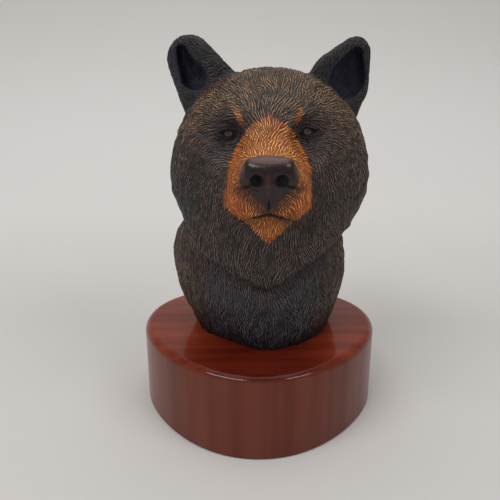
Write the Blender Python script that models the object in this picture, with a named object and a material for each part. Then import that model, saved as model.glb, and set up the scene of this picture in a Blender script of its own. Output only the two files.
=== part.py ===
"""Carved wooden bear bust on a lobed hardwood plinth. Metres, +Z up, origin under the plinth's middle."""

import bmesh
import bpy
import numpy as np

# driving sizes, in metres
PLINTH_WIDTH = 0.150
PLINTH_DEPTH = 0.136
PLINTH_HEIGHT = 0.0508
PLINTH_EDGE_RADIUS = 0.005
PLINTH_FOOT_BREAK = 0.001
BUST_HEIGHT = 0.176
SEAT_GAP = 0.0003
CARVING_CELL = 0.0013

# The figure is carved in shares of its own height: this many units, of about a millimetre each.
HEIGHT_IN_UNITS = 176.0
UNIT = BUST_HEIGHT / HEIGHT_IN_UNITS

# plinth outline: a round with an oval and a three-lobed wave on it, as shares of its radius
OVAL_SHARE = -0.041
LOBE_SHARE = 0.051
SKEW_SHARE = -0.005
PLINTH_SIDES = 64
EDGE_STEPS = 5

BUST_TRIANGLES = 9500

# head, in units from the seat; its face is turned a little to the figure's left
HEAD_MIDDLE = np.array([5.6, 14.0, 95.0])
HEAD_TURN = np.radians(1.8)

# neck profiles: height above the seat and how far the wood reaches each way
NECK_MIDDLE_Y = 12.0
NECK_RIGHT = (
    (-12, 41.5), (0, 45), (12, 49.4), (24, 52.6), (38, 54.6), (50, 53.4), (58, 51.5), (68, 45), (90, 36)
)
NECK_LEFT = (
    (-12, -36), (0, -40.2), (8, -43.6), (20, -49.5), (36, -53.6), (50, -54.2), (61, -51), (70, -44), (90, -34)
)
NECK_FRONT = ((-12, -33), (0, -35.5), (14, -38.5), (28, -40), (45, -38), (60, -34), (110, -20))
NECK_BACK = ((-12, 44), (0, 48), (20, 56), (45, 61), (70, 59), (90, 54), (110, 46))

# a flat pared on the neck at the front left, near the seat: its slope and how far out it lies
NECK_FACET = (-0.567, -0.823, -0.45)
NECK_FACET_REACH = 30.3

# how high the throat fur's lower edge hangs over the neck, from side to side
RUFF_EDGE = (
    (-62, 62), (-50, 60.5), (-38, 57.5), (-24, 52), (-10, 44.8), (0, 40), (10, 46), (22, 53.4), (36, 62),
    (53, 71.8), (64, 77)
)

# muzzle profiles: place along it, from the nose back, and its top, underside and half width there
MUZZLE_TOP = (
    (-62, 111), (-58, 112.8), (-54, 114.4), (-46, 117.6), (-38, 121.4), (-30, 126), (-22, 130.5), (-10, 136)
)
MUZZLE_LOW = ((-62, 86), (-58, 82.5), (-54, 80.5), (-48, 79.5), (-40, 79), (-30, 79), (-10, 80))
MUZZLE_HALF = ((-62, 15.6), (-56, 18.2), (-50, 20.3), (-42, 21.8), (-34, 22.2), (-24, 20.3), (-10, 17))

# eyes: the ball's middle for the side at -X and the side at +X
EYE_RADIUS = 4.1
EYES = {-1: np.array([22.3, -20.4, 122.6]), 1: np.array([20.6, -20.6, 123.7])}

# ears: discs whose common outline is the ear or its hollow, as distance from the middle, height and radius
EAR_Y = 18.0
EARS = {
    -1: {
        "outline": ((28.8, 140.8, 18.8), (41.6, 161.6, 13.4)),
        "hollow": ((39.4, 151.8, 7.8), (43.4, 159.5, 5.4), (46.2, 167.0, 3.2)),
    },
    1: {
        "outline": ((42.3, 136.5, 19.2), (48.2, 149.0, 18.2), (57.0, 165.6, 8.6)),
        "hollow": ((52.6, 151.2, 11.4), (56.8, 164.4, 4.6)),
    },
}

# an ear's rough slab and the bowl cut in it: how far behind the front edge, and the discs' share there
EAR_LAYERS = ((-2.5, 0.85), (-0.5, 1.0), (3.0, 1.0), (7.4, 0.92), (10.6, 0.66), (13.0, 0.25))
HOLLOW_LAYERS = ((-9.0, 0.97), (0.0, 0.97), (3.8, 0.88), (6.6, 0.65), (8.6, 0.3))

# broad locks of fur: how many go round, how long each is and how high they stand
NECK_LOCKS = 36
HEAD_LOCKS = 38
LOCK_LENGTH = 26.0
NECK_LOCK_HEIGHT = 0.45
HEAD_LOCK_HEIGHT = 0.38


def clear_scene():
    for obj in list(bpy.data.objects):
        bpy.data.objects.remove(obj, do_unlink=True)


def linked(obj):
    bpy.context.collection.objects.link(obj)
    return obj


def finish(name, colour, roughness):
    """a plain painted or lacquered wood"""
    material = bpy.data.materials.new(name)
    material.use_nodes = True
    shader = material.node_tree.nodes["Principled BSDF"]
    shader.inputs["Base Color"].default_value = (*colour, 1.0)
    shader.inputs["Roughness"].default_value = roughness
    shader.inputs["Metallic"].default_value = 0.0
    return material


# The carving is a field: negative inside the wood, zero on its surface, in units.


def length(v):
    return np.sqrt((v * v).sum(-1))


def turned(p, centre, degrees):
    """the points as seen from a form that is turned about its centre"""
    ax, ay, az = np.radians(degrees)
    rx = np.array([[1, 0, 0], [0, np.cos(ax), -np.sin(ax)], [0, np.sin(ax), np.cos(ax)]])
    ry = np.array([[np.cos(ay), 0, np.sin(ay)], [0, 1, 0], [-np.sin(ay), 0, np.cos(ay)]])
    rz = np.array([[np.cos(az), -np.sin(az), 0], [np.sin(az), np.cos(az), 0], [0, 0, 1]])
    return (p - np.asarray(centre, float)) @ (rz @ ry @ rx)


def egg(p, centre, radii, degrees=(0, 0, 0)):
    q = turned(p, centre, degrees)
    r = np.asarray(radii, float)
    k0 = length(q / r)
    k1 = length(q / (r * r)) + 1e-9
    return k0 * (k0 - 1) / k1


def bar(p, a, b, radius_a, radius_b, squash=(1, 1, 1)):
    """a round bar from a to b; a squash under 1 makes it wider along that axis"""
    s = np.asarray(squash, float)
    a, b, q = np.asarray(a, float) * s, np.asarray(b, float) * s, p * s
    run = b - a
    t = np.clip(((q - a) @ run) / (run @ run), 0, 1)
    return (length(q - a - t[..., None] * run) - (radius_a + (radius_b - radius_a) * t)) / s.max()


def join(a, b, soft):
    h = np.maximum(soft - np.abs(a - b), 0) / soft
    return np.minimum(a, b) - h * h * soft * 0.25


def both(a, b, soft):
    return -join(-a, -b, soft)


def carve(a, b, soft):
    return both(a, -b, soft)


def mirrored(p, soft=3.0):
    """both sides folded onto one, without a crease along the middle"""
    q = p.copy()
    q[..., 0] = np.sqrt(q[..., 0] ** 2 + soft * soft) - soft * 0.25
    return q


def profile(at, points):
    """a smooth curve through (place, value) points"""
    places, values = np.array(points, float).T
    slopes = np.gradient(values, places)
    at = np.clip(at, places[0], places[-1])
    i = np.clip(np.searchsorted(places, at) - 1, 0, len(places) - 2)
    step = places[i + 1] - places[i]
    t = (at - places[i]) / step
    rise = (t**3 - 2 * t**2 + t) * step * slopes[i] + (t**3 - t**2) * step * slopes[i + 1]
    return values[i] + (3 * t**2 - 2 * t**3) * (values[i + 1] - values[i]) + rise


def head_frame(p):
    q = p - HEAD_MIDDLE
    c, s = np.cos(HEAD_TURN), np.sin(HEAD_TURN)
    x = c * q[..., 0] - s * q[..., 1]
    y = s * q[..., 0] + c * q[..., 1] + HEAD_MIDDLE[1]
    return np.stack([x, y, q[..., 2] + HEAD_MIDDLE[2]], -1)


def neck(p):
    x, y, z = p[..., 0], p[..., 1], p[..., 2]
    right, left = profile(z, NECK_RIGHT), profile(z, NECK_LEFT)
    front, back = profile(z, NECK_FRONT), profile(z, NECK_BACK)
    half = (right - left) / 2
    across = np.abs(x - (right + left) / 2) / half
    ahead = y < NECK_MIDDLE_Y
    reach = np.where(ahead, front, back)
    along = (y - NECK_MIDDLE_Y) / (reach - NECK_MIDDLE_Y)
    power = np.where(ahead, 1.85, 2.3)
    k = (across**power + np.abs(along) ** power + 1e-9) ** (1 / power)
    facet = (p @ np.array(NECK_FACET) - NECK_FACET_REACH) * 0.88
    return both(both((k - 1) * np.minimum(half, 48) * 0.9, facet, 3), z - 108, 20)


def skull(h):
    m = mirrored(h)
    wood = egg(h, (0.2, 15, 101.5), (58.7, 48, 56.0))
    return join(wood, egg(m, (18, 6, 91), (37.0, 36, 33)), 12)


def ruff(h):
    """the throat fur, which ends in a V over the neck"""
    wood = egg(h, (-1, -1, 58), (48.5, 43.5, 70))
    return both(wood, (profile(h[..., 0], RUFF_EDGE) - h[..., 2]) * 0.86, 2.4)


def mouth_line(x):
    """height of the parting of the lips"""
    return 85.1 - 4.0 * (np.abs(x) / 11.5) ** 1.3


def muzzle(h):
    x, y, z = h[..., 0], h[..., 1], h[..., 2]
    top, low, half = profile(y, MUZZLE_TOP), profile(y, MUZZLE_LOW), profile(y, MUZZLE_HALF)
    widest = low + 0.40 * (top - low)
    tall = np.where(z > widest, top - widest, widest - low)
    power = np.where(z > widest, 2.05, 2.6)
    k = ((np.abs(x) / half) ** power + (np.abs(z - widest) / tall) ** power + 1e-9) ** (1 / power)
    falling_back = 0.10 * (99 - z + np.hypot(99 - z, 5.0))
    front = -(y + 59.0) + falling_back + 0.006 * x * x
    wood = both(both((k - 1) * 16, front, 5.5), y - 4, 4) * 0.9
    return both(wood, (mouth_line(x) - z) * 0.8, 1.6)


def jaw(h):
    """set back behind the lips, tapering to the chin"""
    return bar(h, (0, -45.0, 86), (0, -38.0, 67.5), 9.2, 3.4, (0.74, 1, 1))


def with_face(h, wood):
    m = mirrored(h)
    wood = join(wood, egg(m, (15, -17.5, 131), (12, 8.9, 8), (15, 0, 25)), 10)
    wood = join(join(wood, muzzle(h), 8), join(wood, jaw(h), 6), 0.8)
    return carve(wood, egg(m, (22, -33, 117), (5.5, 6, 7)), 9)


def with_nose(h, wood):
    """a leathery block with a sloping top, its nostrils, and the wedge down to the lip"""
    m = mirrored(h, 2.0)
    x, y, z = h[..., 0], h[..., 1], h[..., 2]
    top = (z - 110.9) * 0.89 - (y + 62) * 0.45
    side = np.abs(x) * 0.98 - 14.1 + 0.10 * (z - 103)
    front = -(y + 62.0) + 0.06 * (z - 104) + 0.012 * x * x
    pad = both(both(top, front, 4.0), both(side, 98.6 - z, 5.0), 6.0)
    pad = both(pad, y + 54.5, 2.5)
    pad = join(pad, bar(h, (0, -57.0, 100), (0, -56.0, 89.5), 4.6, 2.0, (0.62, 1, 1)), 3)
    wood = join(wood, pad, 1.6)
    wood = carve(wood, egg(m, (5.4, -62, 103.0), (2.7, 6.0, 2.7), (0, 0, -15)), 1.2)
    return carve(wood, bar(m, (7.4, -61.5, 100.6), (13.4, -56, 98.8), 1.0, 0.6), 0.8)


def with_mouth(h, wood):
    x, z = h[..., 0], h[..., 2]
    parting = np.abs(z - mouth_line(x)) * 0.8 - 0.40
    wood = carve(wood, both(parting, egg(h, (0, -56, 84.5), (12.5, 4.5, 7)), 1.0), 1.0)
    return carve(wood, bar(h, (0, -58.8, 93), (0, -57.4, 85.4), 0.4, 0.9), 0.8)


def with_eyes(h, wood):
    for side, ball in EYES.items():
        q = h * [side, 1, 1]
        wood = carve(wood, egg(q, ball + [0, -9, -1.5], (7.5, 7, 5.4), (0, 10, 0)), 6)
        wood = join(wood, egg(q, ball, (5.4, 4.6, 4.4)), 3)
        slit = egg(q, ball + [-0.2, -5.6, -0.1], (3.0, 5.0, 1.9), (0, 6, 0))
        slit = join(slit, bar(q, ball + [-2.2, -4.2, -0.8], ball + [-5.6, -5.2, -2.9], 1.1, 0.7), 1.0)
        slit = join(slit, bar(q, ball + [2.2, -4.2, 0.0], ball + [5.6, -3.6, 0.3], 0.9, 0.5), 1.0)
        wood = carve(wood, slit, 0.6)
        wood = np.minimum(wood, length(q - ball - [0, 1.0, 0]) - EYE_RADIUS)
    return wood


def disc_outline(across, height, discs):
    """the flat outline around a row of discs and their common tangents"""
    outline = None
    for (ax, az, ra), (bx, bz, rb) in zip(discs, discs[1:]):
        span = np.hypot(bx - ax, bz - az)
        ux, uz = (bx - ax) / span, (bz - az) / span
        along = (across - ax) * ux + (height - az) * uz
        off = np.abs((across - ax) * uz - (height - az) * ux)
        lean = (ra - rb) / span
        rise = np.sqrt(1 - lean * lean)
        k = along * rise - off * lean
        side = off * rise + along * lean - ra
        end = np.where(k < 0, np.hypot(off, along) - ra, np.hypot(off, along - span) - rb)
        one = np.where((k < 0) | (k > rise * span), end, side)
        outline = one if outline is None else np.minimum(outline, one)
    return outline


def bowl(outline, span):
    """0 on an outline, rising as a quarter round to 1 at span inside it"""
    inside = np.clip(-outline / span, 0, 1)
    return np.sqrt(1 - (1 - inside) ** 2)


def ear_rim(across, height):
    """how far back an ear's front edge lies"""
    return EAR_Y + 0.30 * (across - 40) - 0.10 * (height - 150)


def ear(p, side):
    across, y, z = p[..., 0] * side, p[..., 1], p[..., 2]
    outline = disc_outline(across, z, EARS[side]["outline"]) - 0.8
    hollow = disc_outline(across, z, EARS[side]["hollow"])
    rim = ear_rim(across, z)
    back = y - (rim + 3.0 + 10.0 * bowl(outline, 15))
    front = (rim - 2.5 * bowl(outline, 6)) - y
    wood = both(outline, both(back, front, 3.0) * 0.8, 3.0)
    scoop = both(hollow, (y - (rim + 10.0 * bowl(hollow, 10))) * 0.7, 2.5)
    return carve(wood, scoop, 1.5)


def carving(p):
    """the bust without its fur; its neck runs on below the seat, where it is cut"""
    h = head_frame(p)
    wood = join(skull(h), ruff(h), 8)
    for side in EARS:
        wood = join(wood, ear(p, side), 3)
    wood = with_eyes(h, with_mouth(h, with_nose(h, with_face(h, wood))))
    return join(wood, neck(p), 4)


def fade(value, start, end):
    """0 before start, 1 after end, smooth between"""
    t = np.clip((value - start) / (end - start), 0, 1)
    return t * t * (3 - 2 * t)


def broken_locks(count, around, along):
    """ridges that run along the fur, each broken into locks that lie beside their neighbours' gaps"""
    ridge = np.cos(count * around + 1.3 * np.sin(along / 9.0 + 5 * around))
    return ridge * (0.45 + 0.55 * np.cos(2 * np.pi * along / LOCK_LENGTH + 2.0 * np.sin(7 * around)))


def fur_locks(p):
    """height of the broad locks: down the neck, and fanned out from the muzzle over the head"""
    h = head_frame(p)
    round_neck = np.arctan2(p[..., 0], NECK_MIDDLE_Y - p[..., 1])
    on_neck = NECK_LOCK_HEIGHT * broken_locks(NECK_LOCKS, round_neck, p[..., 2])
    round_nose = np.arctan2(h[..., 0], h[..., 2] - 100)
    on_head = HEAD_LOCK_HEIGHT * broken_locks(HEAD_LOCKS, round_nose, h[..., 1])
    low = fade(-p[..., 2], -62, -48)
    muzzle_bare = fade(length(h - [0, -44, 96]), 24, 34)
    nape_bare = fade(length(p - [HEAD_MIDDLE[0], 70, 100]), 10, 30)
    bare = muzzle_bare * nape_bare * fade(-p[..., 2], -152, -138)
    for side, ball in EYES.items():
        bare = bare * fade(length(h - ball * [side, 1, 1]), 9, 15)
    return (low * on_neck + (1 - low) * on_head) * bare


def fine_places(p):
    """1 at the eyes, nose, mouth and ears, whose small forms need small triangles, and 0 on plain fur"""
    h = head_frame(p)
    spots = [(ball * [side, 1, 1], 8, 13) for side, ball in EYES.items()]
    spots += [(np.array([0, -58, 102]), 16, 22), (np.array([0, -52, 84]), 13, 18)]
    fine = np.zeros(len(p))
    for centre, inner, outer in spots:
        fine = np.maximum(fine, 1 - fade(length(h - centre), inner, outer))
    return np.maximum(fine, 0.6 * fade(p[..., 2] + 0.35 * np.abs(p[..., 0]), 158, 166))


def slope(field, p):
    reach = 0.15
    parts = [field(p + step) - field(p - step) for step in np.eye(3) * reach]
    return np.stack(parts, -1) / (2 * reach)


def onto_surface(p, field, passes, furthest):
    """moves points along the field's slope until they lie on its surface"""
    for _ in range(passes):
        away = slope(field, p)
        steep = np.maximum((away * away).sum(-1), 0.04)
        move = np.clip(field(p) / steep, -furthest, furthest)
        p = p - move[:, None] * away
    return p


def evaluated(obj):
    seen = obj.evaluated_get(bpy.context.evaluated_depsgraph_get())
    return bpy.data.meshes.new_from_object(seen)


def rounded_slab(name, side, discs, layers):
    """a hull over a row of discs, drawn at several depths behind an ear's front edge"""
    bm = bmesh.new()
    for across, height, radius in discs:
        for behind, share in layers:
            for angle in np.linspace(0, 2 * np.pi, 32, endpoint=False):
                x = across + share * radius * np.cos(angle)
                z = height + share * radius * np.sin(angle)
                bm.verts.new((side * x, ear_rim(x, z) + behind, z))
    hull = bmesh.ops.convex_hull(bm, input=bm.verts[:])
    spare = [v for v in hull["geom_interior"] if isinstance(v, bmesh.types.BMVert)]
    bmesh.ops.delete(bm, geom=spare, context="VERTS")
    mesh = bpy.data.meshes.new(name)
    bm.to_mesh(mesh)
    bm.free()
    return linked(bpy.data.objects.new(name, mesh))


def ear_block(side):
    """a bulging slab with a bowl cut in its front"""
    slab = rounded_slab("ear_slab", side, EARS[side]["outline"], EAR_LAYERS)
    bowl_cutter = rounded_slab("ear_bowl", side, EARS[side]["hollow"], HOLLOW_LAYERS)
    hollow = slab.modifiers.new("hollow", "BOOLEAN")
    hollow.object = bowl_cutter
    hollow.operation = "DIFFERENCE"
    mesh = evaluated(slab)
    bpy.data.objects.remove(slab)
    bpy.data.objects.remove(bowl_cutter)
    return mesh


def rough_block(bm):
    """the masses that the bust is cut from: balls for neck, head and muzzle, and the ears"""
    balls = (((0, 10, 5), 42), ((0, 10, 35), 50), ((5, 12, 95), 53), ((3, -38, 98), 22), ((4, -50, 102), 15))
    for centre, radius in balls:
        made = bmesh.ops.create_icosphere(bm, subdivisions=4, radius=radius)
        bmesh.ops.translate(bm, verts=made["verts"], vec=centre)
    for side in EARS:
        bm.from_mesh(ear_block(side))


def coordinates(mesh):
    flat = np.empty(len(mesh.vertices) * 3, np.float32)
    mesh.vertices.foreach_get("co", flat)
    return flat.reshape(-1, 3).astype(float)


def set_coordinates(mesh, p):
    mesh.vertices.foreach_set("co", p.astype(np.float32).ravel())
    mesh.update()


def remeshed(obj, cell):
    """the object's mesh as an even skin of cells"""
    skin = obj.modifiers.new("skin", "REMESH")
    skin.mode = "VOXEL"
    skin.voxel_size = cell
    obj.data = evaluated(obj)
    obj.modifiers.remove(skin)


def thin_out(obj, triangles):
    """leaves about this many triangles, the small ones where the carving is fine"""
    group = obj.vertex_groups.new(name="plain")
    for i, fine in enumerate(fine_places(coordinates(obj.data))):
        group.add([i], 1.0 - 0.92 * float(fine), "REPLACE")
    thin = obj.modifiers.new("thin", "DECIMATE")
    thin.ratio = triangles / (2 * len(obj.data.polygons))
    thin.vertex_group = group.name
    obj.data = evaluated(obj)
    obj.modifiers.remove(thin)
    obj.vertex_groups.clear()


def cut_flat(mesh, height):
    """cuts the mesh off below a height and closes the cut"""
    bm = bmesh.new()
    bm.from_mesh(mesh)
    every = bm.verts[:] + bm.edges[:] + bm.faces[:]
    cut = bmesh.ops.bisect_plane(
        bm, geom=every, dist=1e-7, plane_co=(0, 0, height), plane_no=(0, 0, 1), clear_inner=True
    )
    rim = [edge for edge in cut["geom_cut"] if isinstance(edge, bmesh.types.BMEdge)]
    filled = bmesh.ops.contextual_create(bm, geom=rim)
    bmesh.ops.triangulate(bm, faces=filled["faces"])
    bmesh.ops.recalc_face_normals(bm, faces=bm.faces)
    bm.to_mesh(mesh)
    bm.free()


def make_bust():
    cell = CARVING_CELL / UNIT
    mesh = bpy.data.meshes.new("bear_bust")
    bm = bmesh.new()
    rough_block(bm)
    bm.to_mesh(mesh)
    bm.free()
    obj = linked(bpy.data.objects.new("bear_bust", mesh))

    for passes, furthest in ((10, cell), (6, 0.7 * cell), (5, 0.5 * cell)):
        remeshed(obj, cell)
        set_coordinates(obj.data, onto_surface(coordinates(obj.data), carving, passes, furthest))
    remeshed(obj, cell)
    furred = onto_surface(coordinates(obj.data), lambda p: carving(p) - fur_locks(p), 4, 0.5 * cell)
    set_coordinates(obj.data, furred)
    thin_out(obj, BUST_TRIANGLES)
    cut_flat(obj.data, 0.0)

    seat = PLINTH_HEIGHT + SEAT_GAP
    set_coordinates(obj.data, coordinates(obj.data) * UNIT)
    obj.location = (0, 0, seat)
    obj.data.name = "bear_bust"
    obj.data.materials.clear()
    obj.data.materials.append(finish("painted_fur_wood", (0.030, 0.021, 0.016), 0.6))
    obj.data.shade_smooth()
    return obj


def plinth_outline():
    """points round the plinth, at its full width and depth about the origin, and which way each faces"""
    angle = np.linspace(0, 2 * np.pi, PLINTH_SIDES, endpoint=False)

    def at(a):
        radius = 1 + OVAL_SHARE * np.cos(2 * a) + LOBE_SHARE * np.cos(3 * a) + SKEW_SHARE * np.sin(3 * a)
        return np.stack([radius * np.sin(a), -radius * np.cos(a)], -1)

    fine = at(np.linspace(0, 2 * np.pi, 2000))
    low, high = fine.min(0), fine.max(0)
    size = np.array([PLINTH_WIDTH, PLINTH_DEPTH]) / (high - low)
    points = (at(angle) - (low + high) / 2) * size
    ahead = (at(angle + 1e-4) - at(angle - 1e-4)) * size
    facing = np.stack([ahead[:, 1], -ahead[:, 0]], -1)
    return points, facing / length(facing)[:, None]


def make_plinth():
    points, facing = plinth_outline()
    rings = [(PLINTH_FOOT_BREAK, 0.0), (0.0, PLINTH_FOOT_BREAK)]
    for step in range(EDGE_STEPS + 1):
        a = np.pi / 2 * step / EDGE_STEPS
        inset = PLINTH_EDGE_RADIUS * (1 - np.cos(a))
        rings.append((inset, PLINTH_HEIGHT - PLINTH_EDGE_RADIUS * (1 - np.sin(a))))
    bm = bmesh.new()
    rows = []
    for inset, height in rings:
        ring = points - facing * inset
        rows.append([bm.verts.new((x, y, height)) for x, y in ring])
    for lower, upper in zip(rows, rows[1:]):
        for i in range(PLINTH_SIDES):
            j = (i + 1) % PLINTH_SIDES
            bm.faces.new((lower[i], lower[j], upper[j], upper[i]))
    bm.faces.new(rows[-1])
    bm.faces.new(list(reversed(rows[0])))
    bmesh.ops.recalc_face_normals(bm, faces=bm.faces)
    mesh = bpy.data.meshes.new("plinth")
    bm.to_mesh(mesh)
    bm.free()
    mesh.materials.append(finish("lacquered_plinth_wood", (0.16, 0.035, 0.014), 0.18))
    obj = linked(bpy.data.objects.new("plinth", mesh))
    mesh.shade_smooth()
    mesh.set_sharp_from_angle(angle=np.radians(40))
    return obj


clear_scene()
make_plinth()
make_bust()
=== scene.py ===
"""Looks of a carved wooden bear bust on its plinth: hair relief, paint, lacquer and a small studio.

Lengths are in metres, and on the carving in units, where a comment says so.
"""

import bmesh
import bpy
import numpy as np
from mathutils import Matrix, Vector


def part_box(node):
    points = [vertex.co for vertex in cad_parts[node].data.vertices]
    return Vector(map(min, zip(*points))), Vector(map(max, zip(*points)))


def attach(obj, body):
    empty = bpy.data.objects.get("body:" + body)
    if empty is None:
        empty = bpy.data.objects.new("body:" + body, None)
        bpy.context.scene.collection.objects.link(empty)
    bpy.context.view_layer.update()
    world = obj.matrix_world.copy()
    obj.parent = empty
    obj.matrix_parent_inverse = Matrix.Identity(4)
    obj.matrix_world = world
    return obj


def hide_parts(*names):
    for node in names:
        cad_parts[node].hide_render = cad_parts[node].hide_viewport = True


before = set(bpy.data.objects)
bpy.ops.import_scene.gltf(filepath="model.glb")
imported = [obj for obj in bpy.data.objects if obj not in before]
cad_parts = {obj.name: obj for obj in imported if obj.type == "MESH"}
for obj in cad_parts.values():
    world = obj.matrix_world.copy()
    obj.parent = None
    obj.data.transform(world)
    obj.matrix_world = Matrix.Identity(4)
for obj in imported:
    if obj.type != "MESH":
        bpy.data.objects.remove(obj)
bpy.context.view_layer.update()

MM = 0.001

# The carving is worked out in units of a 176th of the bust's height above its seat, about a millimetre
# each. Heights are from the seat.
BUST_HEIGHT = 0.176
UNIT = BUST_HEIGHT / 176.0
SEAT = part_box("bear_bust")[0].z

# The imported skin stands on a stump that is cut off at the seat. It is made anew in cells, carved, and
# thinned to this many triangles, least round the eyes and round the nose and mouth, as far as these
# reaches. In units.
STUMP = 8.0
SKIN_CELL = 1.3
SKIN_TRIANGLES = 196000
THINNING_SPARED = 0.92
EYE_REACH = 8.5
NOSE_MIDDLE = np.array([0.0, -60.0, 96.0])
NOSE_REACH = 17.5
REACH_EDGE = 2.0

# head, in units from the seat; its face is turned a little to the figure's left
HEAD_MIDDLE = np.array([5.6, 14.0, 95.0])
HEAD_TURN = np.radians(1.8)

# eggs of the head, each with its middle, radii and turn in degrees; those of the cheek, the brow and
# the dip beside the muzzle serve both sides
SKULL = ((0.2, 15, 101.5), (58.7, 48, 56.0))
CHEEK = ((18, 6, 91), (37.0, 36, 33))
THROAT = ((-1, -1, 58), (48.5, 43.5, 70))
BROW = ((15, -17.5, 131), (12, 8.9, 8), (15, 0, 25))
MUZZLE_DIP = ((22, -33, 117), (5.5, 6, 7))

# neck profiles: height above the seat and how far the wood reaches each way
NECK_MIDDLE_Y = 12.0
NECK_RIGHT = (
    (-12, 41.5), (0, 45), (12, 49.4), (24, 52.6), (38, 54.6), (50, 53.4), (58, 51.5), (68, 45), (90, 36)
)
NECK_LEFT = (
    (-12, -36), (0, -40.2), (8, -43.6), (20, -49.5), (36, -53.6), (50, -54.2), (61, -51), (70, -44), (90, -34)
)
NECK_FRONT = ((-12, -33), (0, -35.5), (14, -38.5), (28, -40), (45, -38), (60, -34), (110, -20))
NECK_BACK = ((-12, 44), (0, 48), (20, 56), (45, 61), (70, 59), (90, 54), (110, 46))

# a flat pared on the neck at the front left, near the seat: its slope and how far out it lies
NECK_FACET = (-0.567, -0.823, -0.45)
NECK_FACET_REACH = 30.3

# how high the throat fur's lower edge hangs over the neck, from side to side
RUFF_EDGE = (
    (-62, 62), (-50, 60.5), (-38, 57.5), (-24, 52), (-10, 44.8), (0, 40), (10, 46), (22, 53.4), (36, 62),
    (53, 71.8), (64, 77)
)

# how softly the neck joins the head, and how much more softly at the front left
NECK_JOIN = 4.0
NECK_JOIN_MORE = 7.0

# muzzle profiles: place along it, from the nose back, and its top, underside and half width there
MUZZLE_TOP = (
    (-62, 111), (-58, 112.8), (-54, 114.4), (-46, 117.6), (-38, 121.4), (-30, 126), (-22, 130.5), (-10, 136)
)
MUZZLE_LOW = ((-62, 86), (-58, 82.5), (-54, 80.5), (-48, 79.5), (-40, 79), (-30, 79), (-10, 80))
MUZZLE_HALF = ((-62, 15.6), (-56, 18.2), (-50, 20.3), (-42, 21.8), (-34, 22.2), (-24, 20.3), (-10, 17))

# jaw: a bar from under the lips to the chin, its radius at each end, and how much wider than deep it is
JAW = ((0, -45.0, 86), (0, -38.0, 67.5), 9.2, 3.4, (0.74, 1, 1))

# nose: its tip and back along the muzzle, its top and underside at the tip, half its width, the wedge
# below it, and at one side the nostril and the slit that runs out of it
NOSE_TIP_Y = -62.0
NOSE_BACK_Y = -54.5
NOSE_TOP = 110.9
NOSE_LOW = 98.6
NOSE_HALF = 14.1
NOSE_WEDGE = ((0, -57.0, 100), (0, -56.0, 89.5), 4.6, 2.0, (0.62, 1, 1))
NOSTRIL = ((5.8, -62, 103.0), (2.6, 6.5, 2.9), (0, 0, -15))
NOSTRIL_SLIT = ((7.4, -61.5, 100.4), (13.6, -56, 98.6), 0.8, 0.4)

# lips: how high their parting is in the middle, how far it drops at this far out, where it ends, half
# its gap, and the cleft that runs down to it from the nose
LIPS_HEIGHT = 85.1
LIPS_DROP = 4.0
LIPS_DROP_AT = 11.5
LIP_CORNER = 15.0
LIP_GAP = 0.40
LIP_CLEFT = ((0, -58.8, 93), (0, -57.4, 85.4), 0.4, 0.9)

# eyes: the ball's middle for the side at -X and the side at +X
EYE_RADIUS = 4.1
EYES = {-1: np.array([22.3, -20.4, 122.6]), 1: np.array([20.6, -20.6, 123.7])}

# ears: how far back their rims lie, how deep their hollows go and how thick their backs are, and the
# discs whose common outline is the ear or its hollow, each as distance from the middle, height and
# radius
EAR_Y = 18.0
EAR_HOLLOW_DEPTH = 10.0
EAR_BACK_SWELL = 10.0
EARS = {
    -1: {
        "outline": ((28.8, 140.8, 18.8), (41.6, 161.6, 13.4)),
        "hollow": ((39.4, 151.8, 7.8), (43.4, 159.5, 5.4), (46.2, 167.0, 3.2)),
    },
    1: {
        "outline": ((42.3, 136.5, 19.2), (48.2, 149.0, 18.2), (57.0, 165.6, 8.6)),
        "hollow": ((52.6, 151.2, 11.4), (56.8, 164.4, 4.6)),
    },
}

# broad locks of fur: how many go round, how long each is and how high they stand
NECK_LOCKS = 36
HEAD_LOCKS = 38
LOCK_LENGTH = 26.0
NECK_LOCK_HEIGHT = 0.45
HEAD_LOCK_HEIGHT = 0.38

# tufts between the gouge cuts, in units: how wide, how long and how high, on the fur and on the muzzle,
# what share of the height is cut into the wood, and how many waves make up the pattern
TUFT_WIDTH = 2.0
TUFT_LENGTH = 8.0
TUFT_HEIGHT = 0.75
MUZZLE_TUFT_WIDTH = 1.5
MUZZLE_TUFT_LENGTH = 4.5
MUZZLE_TUFT_HEIGHT = 0.38
CUT_SHARE = 0.8
TUFT_WAVES = 130
TUFT_SEED = 3
MUZZLE_TUFT_SEED = 5

# how far the hair strays from its lie, in radians, over patches of this many units
STRAY = 0.24
STRAY_PATCH = 21.0
EAR_STRAY = 0.55
STRAY_SEED = 8
PATCH_WAVES = 24

# How far apart the real burned hair strokes are isn't known. These are 1.1 mm apart, as coarse as they
# need to be to show, and a second set, coarser and longer by these factors, crosses them at this angle
# in radians, which changes over patches of this many units.
STROKE_SPACING = 1.1 * MM
STROKE_LENGTH = 5.0 * MM
STROKE_DEPTH = 0.9 * MM
SECOND_SPACING = 1.5
SECOND_LENGTH = 1.4
STROKE_CROSSING = 0.22
CROSSING_PATCH = 6.0
CROSSING_SEED = 9

# the paint's edges, in units of the head's own frame: height and half width of the tan, the chin's tip,
# the brow spots, with their place, half size and lean, and where a strip of rust runs beside the muzzle
TAN_HALF = (
    (80, 15.5), (84, 20.8), (92.5, 22.2), (100, 21.6), (107, 20.8), (114.5, 18.3), (120.4, 14.6), (126, 10.8),
    (129, 6.5), (131.5, 1.5), (136, -6),
)
CHIN_TIP = 67.0
TAN_SPOTS = {-1: (16.0, 131.6), 1: (15.4, 131.9)}
TAN_SPOT_SIZE = (1.9, 4.2)
TAN_SPOT_LEAN = 0.35
RUST_STRIP_X = -22.7

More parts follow.
